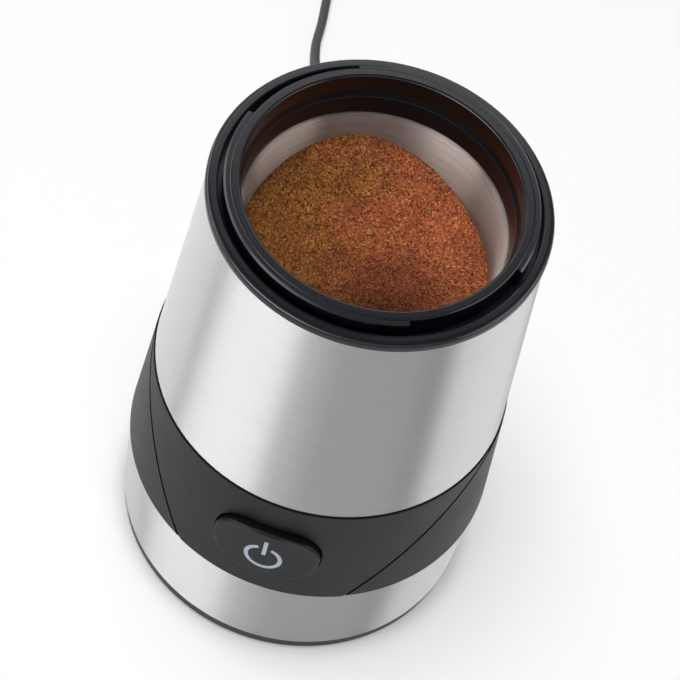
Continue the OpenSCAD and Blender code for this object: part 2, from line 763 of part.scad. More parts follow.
// Inner frame: deck under the bowl with its hub and ribs, on four pillars
module inner_chassis() {
    color("#d8d5cc")
    difference() {
        union() {
            translate([0, 0, chassis_floor]) cylinder(h = chassis_deck - chassis_floor, r = chassis_r);
            translate([0, 0, 88]) cylinder(h = bowl_floor - bowl_t - 88, r = 9.5);
            for (i = [0:5])
                rotate([0, 0, 60 * i + 30]) translate([9, -1, chassis_floor]) cube([28.8, 2, 6]);
            for (a = pillar_azimuths)
                at_azimuth(a) {
                    translate([pillar_at, 0, boss_top]) cylinder(h = chassis_deck - boss_top, r = 3.4);
                    translate([38.6, -2, 88]) cube([pillar_at - 38.6, 4, chassis_deck - 88]);
                }
        }
        translate([0, 0, 80]) cylinder(h = 40, r = 6);
        for (a = pillar_azimuths)
            at_azimuth(a) {
                translate([pillar_at, 0, boss_top - 1]) cylinder(h = 12.5, r = 1.5);
                translate([pillar_at, 0, chassis_deck - 8]) cylinder(h = 10, r = 1.5);
            }
        for (sx = [-1, 1], sy = [-1, 1])
            translate([sx * damper_x, sy * damper_y, 90]) cylinder(h = 10, r = 1.6);
    }
}

// Four waisted rubber bushes between the motor and the chassis
module motor_dampers() {
    z0 = high_bracket + bracket_t;
    color("#222222")
    for (sx = [-1, 1], sy = [-1, 1])
        translate([sx * damper_x, sy * damper_y, 0]) rotate_extrude() polygon([
            [1.5, z0], [5, z0], [5, z0 + 3], [3.8, z0 + 4], [3.8, z0 + 5.5], [5, z0 + 6.5],
            [5, chassis_floor], [1.5, chassis_floor]]);
}

module motor_mount_screws() {
    color("#8c8f92")
    for (sx = [-1, 1], sy = [-1, 1])
        translate([sx * damper_x, sy * damper_y, 0]) screw_down(chassis_floor + 3, 3, 2, 1.5, 16);
}

// ---- motor ----

// Bracket plate with a bearing boss and two posts that reach the stator
module bracket_plate(z, boss0, boss1, post0, post1) {
    difference() {
        union() {
            translate([-28, -12, z]) cube([56, 24, bracket_t]);
            translate([0, 0, boss0]) cylinder(h = boss1 - boss0, r = 8.5);
            for (s = [-1, 1])
                translate([s * motor_screw_x, 0, post0]) cylinder(h = post1 - post0, r = 3.2);
            children();
        }
        translate([0, 0, boss0 - 1]) cylinder(h = boss1 - boss0 + 2, r = 5.5);
        for (s = [-1, 1])
            translate([s * motor_screw_x, 0, 0]) cylinder(h = 120, r = 1.7);
    }
}

module top_bracket() {
    color("#9a9da0")
    difference() {
        bracket_plate(high_bracket, 78, 84.5, stack_z1, high_bracket + 1)
            for (sx = [-1, 1], sy = [-1, 1]) {
                translate([sx * damper_x, sy * damper_y, high_bracket]) cylinder(h = bracket_t, r = 5.5);
                translate([sx * damper_x - 5.5, sy > 0 ? 0 : -damper_y, high_bracket])
                    cube([11, damper_y, bracket_t]);
            }
        for (sx = [-1, 1], sy = [-1, 1])
            translate([sx * damper_x, sy * damper_y, 70]) cylinder(h = 20, r = 1.5);
    }
}

module bottom_bracket() {
    color("#9a9da0")
    bracket_plate(low_bracket, 24.4, 30, low_bracket + 1, stack_z0);
}

// Sintered bush that the shaft turns in
module bearing(z0, z1) {
    color("#b08d57")
    tube(z0, z1, shaft_r + 0.03, 5.5);
}

module upper_bearing() {
    bearing(78, 84.5);
}

module lower_bearing() {
    bearing(24.4, 30);
}

// Two-pole lamination stack: square yoke, pole bodies and pole shoes about the bore
module stator_core() {
    high = stack_z1 - stack_z0;
    bore = armature_r + 0.6;
    color("#6f7276")
    translate([0, 0, stack_z0])
        difference() {
            union() {
                difference() {
                    intersection() {
                        translate([-28, -26, 0]) cube([56, 52, high]);
                        cylinder(h = high, r = 34.5);
                    }
                    translate([-20, -20.5, -1]) cube([40, 41, high + 2]);
                }
                for (s = [0, 180])
                    rotate([0, 0, s]) {
                        translate([-8, 15, 0]) cube([16, 8, high]);
                        rotate([0, 0, 35]) rotate_extrude(angle = 110)
                            translate([bore, 0]) square([2.6, high]);
                    }
            }
            translate([0, 0, -1]) cylinder(h = high + 2, r = bore);
            for (s = [-1, 1])
                translate([s * motor_screw_x, 0, -1]) cylinder(h = high + 2, r = 1.7);
        }
}

// One wound coil round each pole body
module field_windings() {
    middle = (stack_z0 + stack_z1) / 2;
    color("#a4582a")
    for (s = [0, 180])
        rotate([0, 0, s])
            difference() {
                bar_y(33, 34, 7, middle, 17.5, 20.3);
                translate([-8.1, 17, stack_z0 - 0.1]) cube([16.2, 4, stack_z1 - stack_z0 + 0.2]);
            }
}

module motor_shaft() {
    color("#b7babd")
    union() {
        translate([0, 0, 11]) cylinder(h = 103, r = shaft_r);
        translate([0, 0, 10.4]) cylinder(h = 0.6, r1 = shaft_r - 0.6, r2 = shaft_r);
    }
}

// Slotted armature stack
module armature_core() {
    high = stack_z1 - stack_z0;
    color("#7b7e82")
    translate([0, 0, stack_z0])
        difference() {
            cylinder(h = high, r = armature_r);
            translate([0, 0, -1]) cylinder(h = high + 2, r = shaft_r);
            for (i = [0:slots - 1])
                rotate([0, 0, 360 * i / slots]) {
                    translate([10.6, 0, -1]) cylinder(h = high + 2, r = 2);
                    translate([11, -0.6, -1]) cube([6, 1.2, high + 2]);
                }
        }
}

// Copper in the slots and the rounded end turns above and below the stack
module armature_windings() {
    color("#b4622d")
    union() {
        for (i = [0:slots - 1])
            rotate([0, 0, 360 * i / slots]) translate([10.6, 0, stack_z0 - 1])
                cylinder(h = stack_z1 - stack_z0 + 2, r = 1.8);
        end_turns(stack_z1, 1);
        end_turns(stack_z0, -1);
    }
}

module end_turns(z, way) {
    rotate_extrude() polygon([for (p = concat([[4, 0], [12.8, 0], [12.8, 4]],
        arc([9.8, 4], 3, 0, 90, 4), [[6, 7], [4, 5]])) [p[0], z + way * p[1]]]);
}

// Copper bars parted by slots, with a riser at the armature end
module commutator() {
    color("#c07a45")
    difference() {
        union() {
            tube(30.6, 37.2, shaft_r, 6.5);
            tube(37.2, 38.6, shaft_r, 7.6);
        }
        for (i = [0:slots - 1])
            rotate([0, 0, 360 * (i + 0.5) / slots]) translate([5.4, -0.2, 30]) cube([4, 0.4, 10]);
    }
}

// Brass box guides on the lower bracket
module brush_holders() {
    color("#c9a24a")
    for (s = [0, 180])
        rotate([0, 0, s]) {
            difference() {
                translate([8.2, -3.2, 30.6]) cube([12.2, 6.4, 6.4]);
                translate([7, -2.2, 31.6]) cube([12.5, 4.4, 4.4]);
            }
            translate([12, -3.2, low_bracket + bracket_t]) cube([7, 6.4, 30.6 - low_bracket - bracket_t]);
        }
}

module carbon_brushes() {
    color("#2c2c2e")
    for (s = [0, 180])
        rotate([0, 0, s])
            difference() {
                translate([6.3, -2.1, 31.7]) cube([8.9, 4.2, 4.2]);
                translate([0, 0, 30]) cylinder(h = 8, r = 6.6);
            }
}

// Round-wire springs that push the brushes in
module brush_springs() {
    turns = 4;
    wire = 0.25;
    color("#b9bcc0")
    for (s = [0, 180])
        rotate([0, 0, s])
            helix(turns, 1.5, wire, 15.5, 19.2);
}

// Coil of round wire along +X between x0 and x1, about the brush axis
module helix(turns, r, wire, x0, x1) {
    per_turn = 9;
    steps = per_turn * turns;
    sides = 5;
    mid_z = 33.8;
    function out(i) = let (a = 360 * i / per_turn) [0, cos(a), sin(a)];
    function centre(i) = [x0 + (x1 - x0) * i / steps, 0, mid_z] + r * out(i);
    rings = [for (i = [0:steps], k = [0:sides - 1]) let (a = 360 * k / sides)
        centre(i) + out(i) * wire * cos(a) + [wire * sin(a), 0, 0]];
    walls = [for (i = [0:steps - 1], k = [0:sides - 1]) let (m = (k + 1) % sides)
        [i * sides + k, i * sides + m, (i + 1) * sides + m, (i + 1) * sides + k]];
    polyhedron(rings, concat([[for (k = [sides - 1:-1:0]) k]], walls,
        [[for (k = [0:sides - 1]) steps * sides + k]]));
}

// Radial fan with curved blades under a back disc
module cooling_fan() {
    z0 = 12;
    z1 = 22;
    color("#e4e1d8")
    difference() {
        union() {
            translate([0, 0, z0]) cylinder(h = z1 - z0, r = 5.5);
            translate([0, 0, z1 - 1.4]) cylinder(h = 1.4, r = 24);
            for (i = [0:fan_blades - 1])
                rotate([0, 0, 360 * i / fan_blades]) translate([14, -9, z0])
                    rotate([0, 0, 38]) rotate_extrude(angle = 92)
                        translate([10, 0]) square([1.2, z1 - z0 - 1]);
        }
        translate([0, 0, z0 - 1]) cylinder(h = z1 - z0 + 2, r = shaft_r);
    }
}

// Two long screws through brackets and stator, with nuts on top
module motor_screws() {
    top = high_bracket + bracket_t;
    color("#8c8f92")
    for (s = [-1, 1])
        translate([s * motor_screw_x, 0, 0]) {
            translate([0, 0, 23.6]) cylinder(h = low_bracket - 23.6, r = 3);
            translate([0, 0, 23.6]) cylinder(h = top + 4 - 23.6, r = 1.5);
            translate([0, 0, top]) cylinder(h = 2.4, r = 3.1, $fn = 6);
        }
}

// ---- lid interlock ----

module interlock_pin() {
    color("#cfcfcf")
    at_azimuth(interlock_azimuth) translate([interlock_at, 0, 0]) {
        translate([0, 0, pin_foot]) cylinder(h = pin_top - 0.6 - pin_foot, r = 1.1);
        translate([0, 0, pin_top - 0.6]) cylinder(h = 0.6, r1 = 1.1, r2 = 0.7);
        translate([0, 0, 147.9]) cylinder(h = 1.4, r = 1.6);
    }
}

module interlock_switch() {
    color("#1d3a6b")
    at_azimuth(interlock_azimuth) translate([interlock_at, 0, 0])
        difference() {
            union() {
                translate([-2.8, -6.4, 130.1]) cube([5.6, 12.8, interlock_top - 130.1]);
                for (s = [-1, 1])
                    translate([-0.9, 4.5 * s - 0.25, 126.4]) cube([1.8, 0.5, 3.8]);
            }
            translate([0, 0, 133.2]) cylinder(h = 5, r = 0.95);
        }
}

module interlock_plunger() {
    color("#e9e6df")
    at_azimuth(interlock_azimuth) translate([interlock_at, 0, 135.6])
        cylinder(h = pin_foot - 0.05 - 135.6, r = 0.9);
}

// ---- wiring and cord ----

// Mains suppressor, glued to the base plate
module suppressor() {
    color("#c8b23a")
    union() {
        translate([33, -5, plate_z1]) cube([7, 18, 13]);
        for (y = [-2, 10])
            translate([36.5, y, plate_z1 + 13]) cylinder(h = 2, r = 0.5);
    }
}

// Stripped end of the flex and the leads inside the base
module inner_wiring() {
    color("#5a4a42") {
        translate([-cord_w / 2, 38, cord_exit_z - cord_h / 2]) cube([cord_w, 11.6, cord_h]);
        for (lead = [mains_to_interlock, mains_to_switch, switch_to_motor])
            swept(lead, 0.9, 0.9, 8);
    }
}

// Bar that grips the flex on its saddle
module cord_clamp() {
    top = cord_exit_z + cord_h / 2;
    color("#3a3a3c")
    difference() {
        union() {
            translate([-8.5, 41.5, 12.2]) cube([17, 5, top + 2.2 - 12.2]);
            for (s = [-1, 1])
                translate([s * 8.5, 44, 12.2]) cylinder(h = top + 2.2 - 12.2, r = 3);
        }
        translate([-cord_w / 2, 40, 10]) cube([cord_w, 8, top - 10]);
        translate([-5.4, 40, 11]) cube([10.8, 8, cord_exit_z - cord_h / 2 - 11]);
        for (s = [-1, 1])
            translate([s * 8.5, 44, 10]) cylinder(h = 15, r = 1.4);
    }
}

module clamp_screws() {
    color("#8c8f92")
    for (s = [-1, 1])
        translate([s * 8.5, 44, 0]) screw_down(cord_exit_z + cord_h / 2 + 2.2, 2.2, 1.6, 1.2, 14);
}

// Tapered rubber boot with grooves, held in the sleeve by a flange on each side
module strain_relief() {
    boot0 = 56.5;
    boot1 = 82;
    grooves = 6;
    pitch = (boot1 - boot0 - 4) / grooves;
    function boot_r(y) = 5.2 - 2 * (y - boot0) / (boot1 - boot0);
    ribs = [for (i = [0:grooves - 1], p = [[0, 0], [pitch * 0.55, 0], [pitch * 0.55, -0.8], [pitch, -0.8]])
        let (y = boot0 + i * pitch + p[0]) [boot_r(y) + p[1], y]];
    color("#202022")
    translate([0, 0, cord_exit_z]) rotate([-90, 0, 0]) rotate_extrude() polygon(concat(
        [[0, 49.6], [6.6, 49.6], [6.6, 52.6], [5, 52.6], [5, 54.5], [6.4, 54.5], [6.4, 56], [6, boot0]],
        ribs, [[boot_r(boot1 - 4), boot1 - 4], [boot_r(boot1), boot1], [0, boot1]]));
}

module power_cord() {
    color("#3a3b3d")
    swept(route, cord_w / 2, cord_h / 2, 8);
}

// Outer shape of the coiled flex
module cord_coil() {
    color("#3a3b3d")
    translate([coil_at[0], coil_at[1], 0]) rotate_extrude()
        translate([coil_mid - 1.5 * cord_w, 0]) square([3 * cord_w, coil_high]);
}

module cord_tail() {
    color("#3a3b3d")
    swept(tail, cord_w / 2, cord_h / 2, 8);
}

// Flat two-pin plug: its plan flares towards the pins and its sides taper to the boot
module plug() {
    thick = 13.7;
    color("#1d1d1f")
    translate(plug_at)
        union() {
            intersection() {
                translate([0, 0, -thick / 2]) linear_extrude(thick) polygon([
                    [0, -4.5], [8, -6], [15, -10], [22, -16], [26, -17.5], [33, -17.5],
                    [33, 17.5], [26, 17.5], [22, 16], [15, 10], [8, 6], [0, 4.5]]);
                rotate([90, 0, 0]) translate([0, 0, -20]) linear_extrude(40) polygon([
                    [0, -4.2], [12, -thick / 2], [31, -thick / 2], [33, -thick / 2 + 2],
                    [33, thick / 2 - 2], [31, thick / 2], [12, thick / 2], [0, 4.2]]);
            }
            translate([-10, 0, 0]) rotate([0, 90, 0]) cylinder(h = 10.5, r1 = 3.2, r2 = 4.2);
        }
}

// Round pins with a sleeved root and a rounded tip
module plug_pins() {
    color("#d5d6d8")
    translate(plug_at + [33, 0, 0])
        for (s = [-1, 1])
            translate([0, 9.3 * s, 0]) rotate([0, 90, 0]) rotate_extrude() polygon(concat(
                [[0, 0], [1.9, 0], [1.9, 10], [2, 10]], arc([0, 17], 2, 0, 90, 4)));
}

base_plate();
rubber_feet();
base_screws();
lower_sleeve();
band_housing();
front_panel();
power_button();
light_guide();
switch_carrier();
panel_screws();
power_switch();
switch_plunger();
lamp_board();
indicator_lamp();
upper_sleeve();
top_collar();
collar_screws();
bowl();
bowl_gasket();
bowl_bush();
shaft_seal();
blade_hub();
blade();
blade_nut();
ground_spice();
bowl_cup();
cup_screws();
inner_chassis();
motor_dampers();
motor_mount_screws();
top_bracket();
bottom_bracket();
upper_bearing();
lower_bearing();
stator_core();
field_windings();
motor_shaft();
armature_core();
armature_windings();
commutator();
brush_holders();
carbon_brushes();
brush_springs();
cooling_fan();
motor_screws();
interlock_pin();
interlock_switch();
interlock_plunger();
suppressor();
inner_wiring();
cord_clamp();
clamp_screws();
strain_relief();
power_cord();
cord_coil();
cord_tail();
plug();
plug_pins();
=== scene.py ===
import json
import math

import bpy
import numpy as np
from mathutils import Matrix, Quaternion, Vector


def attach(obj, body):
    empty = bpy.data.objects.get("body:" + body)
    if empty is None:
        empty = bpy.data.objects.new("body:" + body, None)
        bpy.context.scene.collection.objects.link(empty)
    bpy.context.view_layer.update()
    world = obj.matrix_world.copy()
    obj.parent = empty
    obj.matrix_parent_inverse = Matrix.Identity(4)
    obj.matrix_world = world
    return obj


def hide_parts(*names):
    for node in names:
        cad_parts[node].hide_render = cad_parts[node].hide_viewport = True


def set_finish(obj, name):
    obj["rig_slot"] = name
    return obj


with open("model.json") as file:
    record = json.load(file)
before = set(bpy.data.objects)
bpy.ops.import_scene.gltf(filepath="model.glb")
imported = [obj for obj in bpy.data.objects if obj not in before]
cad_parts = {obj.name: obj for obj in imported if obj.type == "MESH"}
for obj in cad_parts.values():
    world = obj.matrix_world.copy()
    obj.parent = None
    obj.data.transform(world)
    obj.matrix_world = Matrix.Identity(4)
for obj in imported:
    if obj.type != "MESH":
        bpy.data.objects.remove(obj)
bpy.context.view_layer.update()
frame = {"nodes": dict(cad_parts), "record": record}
nodes = frame["nodes"]
mm = 0.001
print("frame loaded:", len(nodes), "nodes")


# Camera: above and in front of the grinder, turned a little about its view line.

cameraLook = {
    "place": (25.66, -431.97, 720.66), "aim": (-0.26, 7.66, 80), "roll": 16.654,
    "lens": 140.0, "sensor": 36,
}


def makeCamera(look):
    data = bpy.data.cameras.new("camera")
    data.lens, data.sensor_width, data.sensor_fit = look["lens"], look["sensor"], "HORIZONTAL"
    camera = bpy.data.objects.new("camera", data)
    bpy.context.scene.collection.objects.link(camera)
    place, aim = Vector(look["place"]) * mm, Vector(look["aim"]) * mm
    roll = Quaternion((0, 0, 1), math.radians(look["roll"]))
    camera.location = place
    camera.rotation_mode = "QUATERNION"
    camera.rotation_quaternion = (aim - place).to_track_quat("-Z", "Y") @ roll
    bpy.context.scene.camera = camera


makeCamera(cameraLook)
print("camera made")


# Surfaces worked out with numpy: points are places in millimetres, faces are corner numbers.

def addPiece(name, points, faces, body, slot):
    mesh = bpy.data.meshes.new(name)
    mesh.from_pydata((points * mm).tolist(), [], [list(f) for f in faces])
    mesh.polygons.foreach_set("use_smooth", np.full(len(mesh.polygons), True))
    mesh.update()
    piece = bpy.data.objects.new(name, mesh)
    bpy.context.scene.collection.objects.link(piece)
    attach(piece, body)
    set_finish(piece, slot)
    return piece


def gridFaces(rows, columns, closed=True, first=0):
    # quads between neighbouring rows of a grid, joined round each row where closed
    last = columns if closed else columns - 1
    row, column = np.meshgrid(np.arange(rows - 1), np.arange(last), indexing="ij")
    after = (column + 1) % columns
    near, far = row * columns, (row + 1) * columns
    return np.stack([near + column, near + after, far + after, far + column], -1).reshape(-1, 4) + first


def joinFaces(ring, other):
    # quads between two rings of corner numbers
    return np.stack([ring, np.roll(ring, -1), np.roll(other, -1), other], -1)


def fanFaces(tip, ring, flip=False):
    # triangles between a tip and each side of a ring of corner numbers
    after = np.roll(ring, -1)
    pair = (ring, after) if flip else (after, ring)
    return np.stack([np.full(len(ring), tip), *pair], -1)


def closedTube(rings, start, end):
    # rings of points joined one to the next, with a fan to a tip at either end
    length, count = rings.shape[:2]
    points = np.vstack([rings.reshape(-1, 3), [start], [end]])
    ring = np.arange(count)
    faces = gridFaces(length, count).tolist()
    faces += fanFaces(length * count, ring).tolist()
    faces += fanFaces(length * count + 1, (length - 1) * count + ring, flip=True).tolist()
    return points, faces


def closedLoop(rows, columns):
    # faces of a closed band: the rows are joined one to the next, and the last one to the first
    ring = np.arange(columns)
    return np.vstack([gridFaces(rows, columns), joinFaces((rows - 1) * columns + ring, ring)])[:, ::-1]


def circleAngles(count):
    return 2 * math.pi * np.arange(count) / count


def smoothPath(corners, gap, steps=24):
    # a curve through the corners: on each stretch the cubic whose ends head along their neighbours, taken in
    # steps and then spaced out evenly
    places = np.array(corners, float)
    places = np.vstack([2 * places[0] - places[1], places, 2 * places[-1] - places[-2]])
    t = np.linspace(0, 1, steps, endpoint=False)[None, :, None]
    before, start, end, after = (places[k:len(places) - 3 + k, None] for k in range(4))
    square = t ** 2 * (before - 2.5 * start + 2 * end - after / 2)
    cube = t ** 3 * (1.5 * (start - end) + (after - before) / 2)
    cubic = start + t * (end - before) / 2 + square + cube
    line = np.vstack([cubic.reshape(-1, 3), places[-2]])
    run = np.concatenate([[0], np.cumsum(np.linalg.norm(np.diff(line, axis=0), axis=1))])
    even = np.linspace(0, run[-1], int(round(run[-1] / gap)) + 1)
    return np.stack([np.interp(even, run, line[:, k]) for k in range(3)], -1)


# Flex of two cores: from the boot down to the floor, past the view's edge and into a coil of two layers.

cordLook = {
    "coreRadius": 1.6, "coreOffset": 1.0, "waist": 5, "pointsPerCore": 11, "ringGap": 2.0,
    "coilCentre": (-22, 262), "coilOuter": 30.2, "turns": 5.25, "stepsPerTurn": 20,
    "climbTurns": 0.5, "turnBack": 0.2, "lowLayer": 2.6, "highLayer": 7.8,
}
route = [
    (0, 82, 16), (0, 86, 16), (0, 91, 15.6), (-0.5, 98, 14), (-2, 107, 11), (-6, 117, 7.5),
    (-12, 127, 4.5), (-20, 137, 3), (-30, 147, 2.6), (-39.5, 157, 2.6), (-45.5, 167, 2.6),
    (-48.5, 177, 2.6), (-49.5, 187, 2.6), (-51, 197, 2.6), (-52.5, 208, 2.6), (-53, 220, 2.6),
    (-52.5, 235, 2.6), (-52.2, 252, 2.6),
]
tail = [(-15, 292.2, 7.5), (-10, 292.2, 6.9), (-5, 292.2, 6.9)]


def coilPoints(look):
    # clockwise spiral that winds in on the lower layer, climbs half way along and winds out on the upper one
    pitch = 2 * look["coreRadius"]
    half = look["turns"] / 2
    bend = look["turnBack"]
    t = np.linspace(0, look["turns"], int(look["turns"] * look["stepsPerTurn"]) + 1)
    away = np.hypot(t - half, bend)  # turns from the climb, rounded where the spiral turns back
    radius = look["coilOuter"] - pitch * (np.hypot(half, bend) - away)
    angle = math.pi - 2 * math.pi * t
    climb = np.clip((t - half) / look["climbTurns"] + 0.5, 0, 1)
    height = look["lowLayer"] + (look["highLayer"] - look["lowLayer"]) * climb ** 2 * (3 - 2 * climb)
    x = look["coilCentre"][0] + radius * np.cos(angle)
    y = look["coilCentre"][1] + radius * np.sin(angle)
    return np.stack([x, y, height], -1)


def twinSection(look):
    # outline of two round cores that lie along the second axis: each arc stops short of where the cores would
    # meet, by the waist's angle in degrees
    spread = math.degrees(math.asin(look["coreOffset"] / look["coreRadius"])) - look["waist"]
    angles = np.radians(np.linspace(-spread, 180 + spread, look["pointsPerCore"]))
    arc = np.stack([np.cos(angles), np.sin(angles)], -1)
    upper = arc * look["coreRadius"] + [0, look["coreOffset"]]
    return np.vstack([upper, -upper])


def sweptTube(line, section):
    # the section is carried along the line, its second axis kept as upright as the line allows
    way = np.gradient(line, axis=0)
    way /= np.linalg.norm(way, axis=1)[:, None]
    side = np.stack([-way[:, 1], way[:, 0], np.zeros(len(way))], -1)
    side /= np.linalg.norm(side, axis=1)[:, None]
    top = np.cross(way, side)
    rings = line[:, None] + side[:, None] * section[None, :, :1] + top[:, None] * section[None, :, 1:]
    return closedTube(rings, line[0], line[-1])


cordLine = smoothPath(np.vstack([route, coilPoints(cordLook), tail]), cordLook["ringGap"])
flex = addPiece("mains_flex", *sweptTube(cordLine, twinSection(cordLook)), "base_unit", "cord_black")
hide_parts("power_cord", "cord_coil", "cord_tail")


# Plug: half width, half thickness and squareness at a few stations along it, and ridges for the fingers.

plugLook = {
    "start": tail[-1], "length": 43, "points": 56,
    "stations": (0, 4, 10, 18, 25, 32, 36, 41.5, 42.6, 43),
    "wide": (3.3, 3.7, 4.6, 6.0, 10.0, 16.0, 17.3, 17.5, 17.0, 16.2),
    "thick": (3.3, 3.7, 4.4, 5.6, 6.85, 6.85, 6.85, 6.85, 6.4, 5.6),
    "square": (2.0, 2.0, 2.2, 2.6, 3.2, 4.0, 4.5, 4.5, 4.5, 4.5),
    "sideEnd": 41.5, "sideRings": 60, "edgeRings": (42.1, 42.6, 43),
    "ridgesFrom": 20, "ridgesTo": 34, "ridgeGap": 2.8, "ridgeDepth": 0.35,
}


def roundedRing(wide, thick, square, count):
    # superellipse: each axis is its cosine or sine to the power of two over the squareness
    cosine, sine = np.cos(circleAngles(count)), np.sin(circleAngles(count))
    power = 2 / square[:, None]
    y = wide[:, None] * np.sign(cosine) * np.abs(cosine) ** power
    z = thick[:, None] * np.sign(sine) * np.abs(sine) ** power
    return y, z


def makePlug(look):
    x = np.concatenate([np.linspace(0, look["sideEnd"], look["sideRings"]), look["edgeRings"]])
    wide, thick, square = (np.interp(x, look["stations"], look[k]) for k in ("wide", "thick", "square"))
    ridged = (x > look["ridgesFrom"]) & (x < look["ridgesTo"])
    wave = np.cos((x - look["ridgesFrom"]) * 2 * math.pi / look["ridgeGap"])
    thick = thick - look["ridgeDepth"] * ridged * wave.clip(0) ** 2
    y, z = roundedRing(wide, thick, square, look["points"])
    start = np.array(look["start"])
    rings = np.stack([np.broadcast_to(x[:, None], y.shape), y, z], -1) + start
    points, faces = closedTube(rings, start, start + [look["length"], 0, 0])
    piece = addPiece("plug_body", points, faces, "base_unit", "plug_black")
    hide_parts("plug")
    return piece


plugBody = makePlug(plugLook)


# Strap round the stored coil.

tieLook = {
    "azimuth": 20, "width": 7, "thick": 0.5, "inner": 21.0, "outer": 32.1, "low": 0.3, "high": 10.9,
    "corner": 2.2, "power": 0.15, "points": 48, "slopeFrom": 0.94, "floorGap": 0.02,
}


def makeTie(look):
    # a rounded rectangle about the turns' section: a power curve that is nearly square, plus a circle for the
    # corners; the rows are one edge, the outside near it, the outside near the other edge, and that edge
    half = np.array([look["outer"] - look["inner"], look["high"] - look["low"]]) / 2
    middle = [(look["outer"] + look["inner"]) / 2, 0, (look["high"] + look["low"]) / 2]
    angles = circleAngles(look["points"])
    way = np.stack([np.cos(angles), np.sin(angles)], -1)
    corner = look["corner"]
    outline = (half - corner) * np.sign(way) * np.abs(way) ** look["power"] + corner * way
    rows = []
    for grow, along in ((0, -1), (1, -look["slopeFrom"]), (1, look["slopeFrom"]), (0, 1)):
        ring = outline * (1 + grow * look["thick"] / half)
        rows.append(np.stack([ring[:, 0], np.full(len(ring), along * look["width"] / 2), ring[:, 1]], -1))
    local = np.array(rows).reshape(-1, 3) + middle
    turn = math.radians(look["azimuth"])
    x = local[:, 0] * math.cos(turn) - local[:, 1] * math.sin(turn) + cordLook["coilCentre"][0]
    y = local[:, 0] * math.sin(turn) + local[:, 1] * math.cos(turn) + cordLook["coilCentre"][1]
    points = np.stack([x, y, local[:, 2].clip(look["floorGap"])], -1)
    return addPiece("coil_tie", points, closedLoop(len(rows), len(angles)), "base_unit", "hidden_black")


coilTie = makeTie(tieLook)
print("plug and strap made")


# Edge of the button cap: crisper than the cap's chamfer, and it covers it. The border slopes up to the flat:
# how far out from the ring's inner edge, and how high over the cap's face.

buttonLook = {
    "halfWidth": 16, "halfHeight": 11.1, "corner": 10, "points": 40, "middle": 57.2, "faceRadius": 55.8,
    "border": ((0, -0.1), (0.05, -0.03), (0.1, -0.027), (0.2, -0.02),
               (0.9, 0.027), (0.95, 0.03), (1.05, 0.03)),
    "band": 2.6, "proud": 0.03, "flatEnd": (0.06, 0.03), "round": 0.45, "bendRings": 7, "bendEnd": 0.05,
    "cover": 0.02, "depth": 2.4,
}


def roundedOutline(look, inset):
    # rounded rectangle moved in by the inset: four quarter circles of the corner's radius less the inset
    radius = look["corner"] - inset
    quarter = np.linspace(0, math.pi / 2, look["points"])
    parts = []
    for turn, (sideX, sideZ) in enumerate(((1, 1), (-1, 1), (-1, -1), (1, -1))):
        angle = quarter + turn * math.pi / 2
        parts.append(np.stack([sideX * (look["halfWidth"] - look["corner"]) + radius * np.cos(angle),
                               sideZ * (look["halfHeight"] - look["corner"]) + radius * np.sin(angle)], -1))
    return np.vstack(parts)


def edgeProfile(look):
    # insets and heights: over the border and the flat, round the edge by a quarter circle, down and back in
    size, proud, band, cover = look["round"], look["proud"], look["band"], look["cover"]
    bend = np.linspace(0, math.pi / 2, look["bendRings"])
    profile = [(band - run, lift) for run, lift in look["border"]]
    profile += [(size + run, proud) for run in look["flatEnd"]]
    profile += [(size * (1 - math.sin(b)) - cover, proud - size * (1 - math.cos(b))) for b in bend]
    profile += [(-cover, proud - size - look["bendEnd"]), (-cover, -look["depth"]), (band, -look["depth"])]
    return profile


def makeButtonEdge(look):
    # closed ring whose heights stand on the cap's face, a cylinder about the grinder's axis
    rings = []
    for inset, lift in edgeProfile(look):
        outline = roundedOutline(look, inset)
        y = -np.sqrt((look["faceRadius"] + lift) ** 2 - outline[:, 0] ** 2)
        rings.append(np.stack([outline[:, 0], y, outline[:, 1] + look["middle"]], -1))
    faces = closedLoop(len(rings), len(rings[0]))
    return addPiece("button_edge", np.vstack(rings), faces, "button", "button_gloss")


buttonEdge = makeButtonEdge(buttonLook)
print("button edge made")


# Ground spice in the bowl. Swells, lumps and crumbs are waves: height, length and number of each.

spiceLook = {
    "wallFoot": 35.4, "wallTop": 36, "footZ": 114, "topZ": 149.7, "gap": 0.05,
    "wallLow": 129.8, "wallHigh": 12.0, "highAzimuth": -157, "spread": 50, "centre": 127.5, "dish": 2.2,
    "swells": (0.55, 19, 7), "lumps": (0.28, 6.5, 11), "crumbs": (0.10, 1.6, 24), "grains": 0.11,
    "calmSlope": 8, "calmest": 0.35, "cells": 236, "seed": 7,
    "wallShares": (0.6, 0.0), "bottomCurve": ((34.45, 109.6), (32.75, 106.6)),
    "cavityRadius": 31.9, "cavityFoot": 105.7, "cavityWall": 112, "cavityTop": 118, "roofRadii": (31.6, 16),
}


def wallHeight(look, angle):
    # height of the spice's edge on the bowl: level, with a round bank against the back left
    away = (np.degrees(angle) - look["highAzimuth"] + 180) % 360 - 180
    return look["wallLow"] + look["wallHigh"] * np.exp(-(away / look["spread"]) ** 2)


def waves(x, y, kind, seed, shortest=0.7, longest=1.5):
    # sum of plane waves in random directions, each between the shortest and the longest share of the length
    height, size, count = kind
    draw = np.random.default_rng(seed)
    total = np.zeros_like(x)
    for _ in range(count):
        turn, shift = draw.uniform(0, 2 * math.pi), draw.uniform(0, 2 * math.pi)
        length = size * draw.uniform(shortest, longest)
        total += np.sin((x * math.cos(turn) + y * math.sin(turn)) * 2 * math.pi / length + shift)
    return height * (total / math.sqrt(count))


